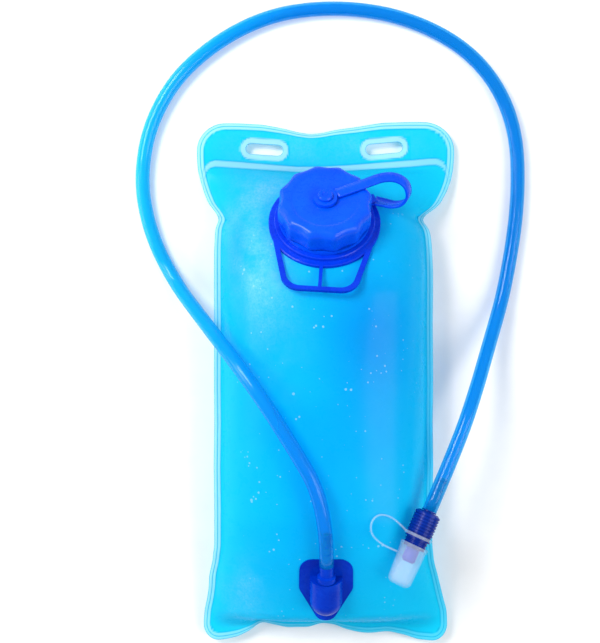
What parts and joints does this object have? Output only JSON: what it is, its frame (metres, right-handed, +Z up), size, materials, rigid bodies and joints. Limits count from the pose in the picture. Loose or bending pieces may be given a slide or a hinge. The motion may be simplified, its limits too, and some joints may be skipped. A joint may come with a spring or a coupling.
{
  "type": "hydration bladder",
  "caption": "Filled drinking-water bladder with a hanging header, screw cap on a tether, outlet port, drinking hose and push-pull valve with dust cap.",
  "frame": {"origin": "on the surface the bladder lies on, under the middle of its box without the hose", "axes": "+X across the bladder, +Y towards the hanging header, +Z up through its front"},
  "size_m": [0.2803, 0.4573, 0.0785],
  "materials": {
    "film": "translucent cyan film, semi-gloss, welded rim",
    "blue_plastic": "royal blue moulded plastic, satin",
    "silicone": "translucent white silicone",
    "hose_tube": "translucent blue tube, glossy",
    "clear_plastic": "frosted clear plastic"
  },
  "bodies": {
    "bladder": {"front_film": "film", "back_film": "film", "spout": "blue_plastic", "tether_strap": "blue_plastic", "tether_ring": "blue_plastic", "outlet_port": "blue_plastic", "hose_connector": "blue_plastic", "port_seal": "silicone", "drink_hose": "hose_tube", "valve_connector": "blue_plastic", "valve_body": "blue_plastic", "dust_cap_ring": "clear_plastic", "dust_cap_tether": "clear_plastic"},
    "cap_swivel": {"tether_eyelet": "blue_plastic"},
    "cap": {"cap": "blue_plastic", "cap_seal": "silicone", "cap_button": "blue_plastic"},
    "nozzle": {"nozzle": "blue_plastic", "nozzle_seal": "silicone"},
    "dust_cap": {"dust_cap": "clear_plastic"}
  },
  "joints": [
    {"name": "cap_lift", "type": "slide", "parent": "bladder", "child": "cap_swivel", "axis": [0, 0.5592, 0.829], "range_m": [0, 0.01013], "deforming": ["tether_strap"]},
    {"name": "cap_turn", "type": "hinge", "parent": "cap_swivel", "child": "cap", "pos_m": [-0.001, 0.1091, 0.04], "axis": [0, 0.5592, 0.829], "range_deg": [0, 810]},
    {"name": "nozzle_slide", "type": "slide", "parent": "bladder", "child": "nozzle", "axis": [-0.41, -0.9053, 0.1106], "range_m": [0, 0.005]},
    {"name": "dust_cap_pull", "type": "slide", "parent": "bladder", "child": "dust_cap", "axis": [-0.41, -0.9053, 0.1106], "range_m": [0, 0.035], "deforming": ["dust_cap_tether"]}
  ],
  "couplings": [
    {"joint": "cap_lift", "follows": "cap_turn", "m_per_rad": 0.0007162}
  ]
}
